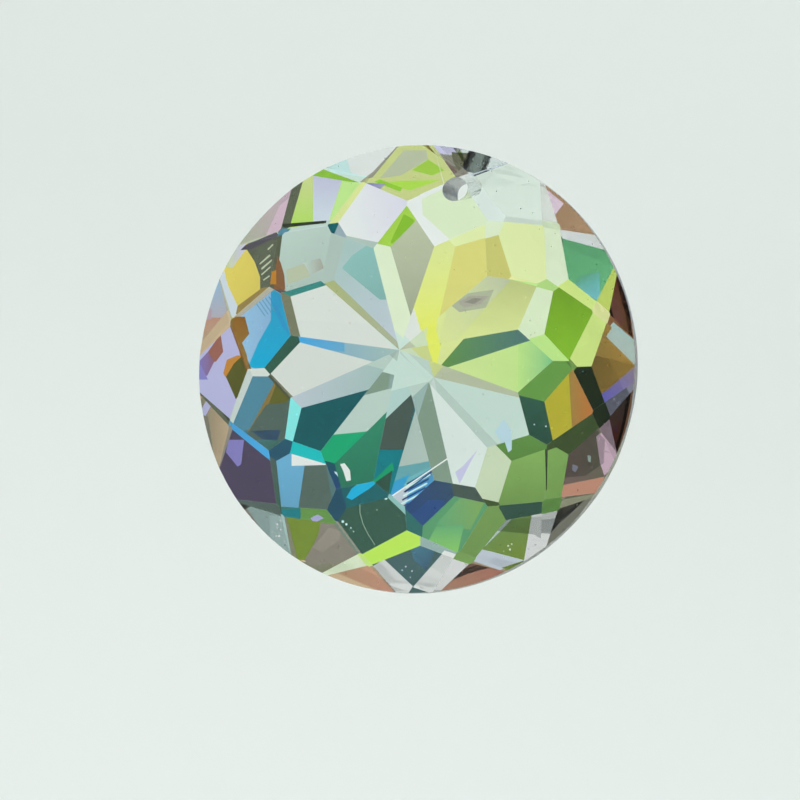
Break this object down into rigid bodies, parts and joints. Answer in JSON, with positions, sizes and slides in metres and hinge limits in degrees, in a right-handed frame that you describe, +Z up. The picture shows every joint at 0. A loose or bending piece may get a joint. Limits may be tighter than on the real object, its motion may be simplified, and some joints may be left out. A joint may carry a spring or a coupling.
{
  "type": "faceted prism suncatcher",
  "caption": "Round double-convex clear prism with rings of flat facets on both sides and a small hanging hole drilled near its rim.",
  "frame": {"origin": "middle of the hanging hole, on its axis, halfway through the disc", "axes": "+Z up as the prism hangs, the hole being at the top; Y along the disc's axis and the hole's, with the front looking to -Y; +X to the right seen from the front"},
  "size_m": [0.05, 0.0176, 0.0499],
  "materials": {
    "clear_acrylic": "clear polished acrylic with a thin iridescent coating"
  },
  "bodies": {
    "root": {"prism": "clear_acrylic"}
  },
  "joints": []
}
